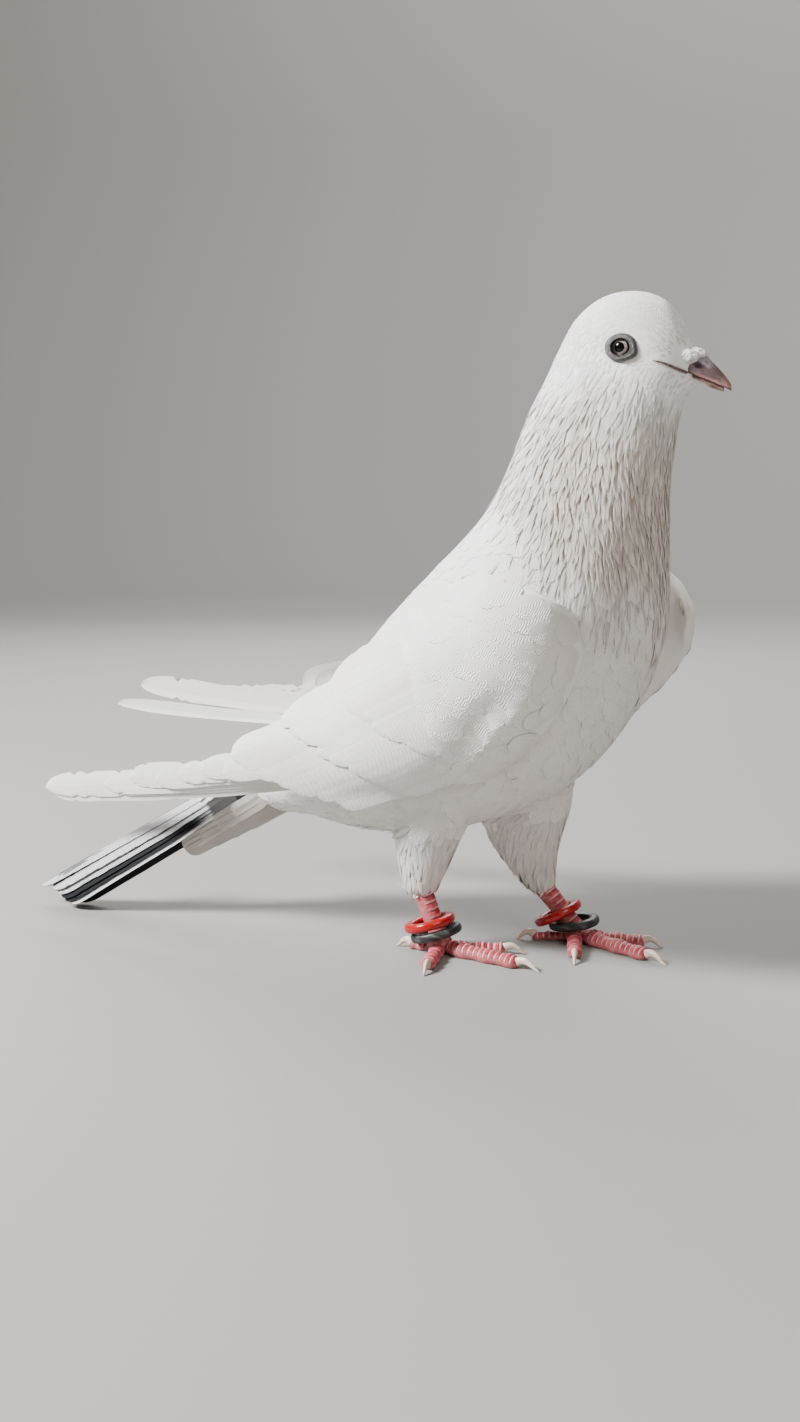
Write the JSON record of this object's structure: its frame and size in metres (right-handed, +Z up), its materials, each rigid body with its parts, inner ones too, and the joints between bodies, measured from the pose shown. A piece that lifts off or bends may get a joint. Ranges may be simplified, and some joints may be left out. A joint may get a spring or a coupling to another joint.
{
  "type": "pigeon",
  "caption": "White domestic pigeon with a dark tail standing upright on pink feet, with a red and a black ring on each leg.",
  "frame": {"origin": "on the floor, at the middle of the bird's box seen from above", "axes": "+X forward along the bird, +Y to its left, +Z up"},
  "size_m": [0.239, 0.1096, 0.2053],
  "materials": {
    "plumage": "soft matte body feathers",
    "flight_feathers": "smooth matte flight feathers",
    "tail_feathers": "matte, dark inner webs and white outer webs",
    "skin": "scaled pink skin",
    "claw": "satin horn",
    "bill": "satin horn",
    "cere": "powdery",
    "eye": "wet gloss",
    "ring_red": "satin plastic",
    "ring_black": "satin plastic"
  },
  "bodies": {
    "root": {"head": "plumage", "neck": "plumage", "torso": "plumage", "thigh_left": "plumage", "thigh_right": "plumage", "wing_left": "flight_feathers", "wing_right": "flight_feathers", "tail": "tail_feathers", "shank_left": "skin", "shank_right": "skin", "foot_left": "skin", "foot_right": "skin", "claw_left_hind": "claw", "claw_left_inner": "claw", "claw_left_middle": "claw", "claw_left_outer": "claw", "claw_right_hind": "claw", "claw_right_inner": "claw", "claw_right_middle": "claw", "claw_right_outer": "claw", "bill_upper": "bill", "bill_lower": "bill", "cere": "cere", "eye_left": "eye", "eye_right": "eye", "ring_red_left": "ring_red", "ring_red_right": "ring_red", "ring_black_left": "ring_black", "ring_black_right": "ring_black"}
  },
  "joints": []
}
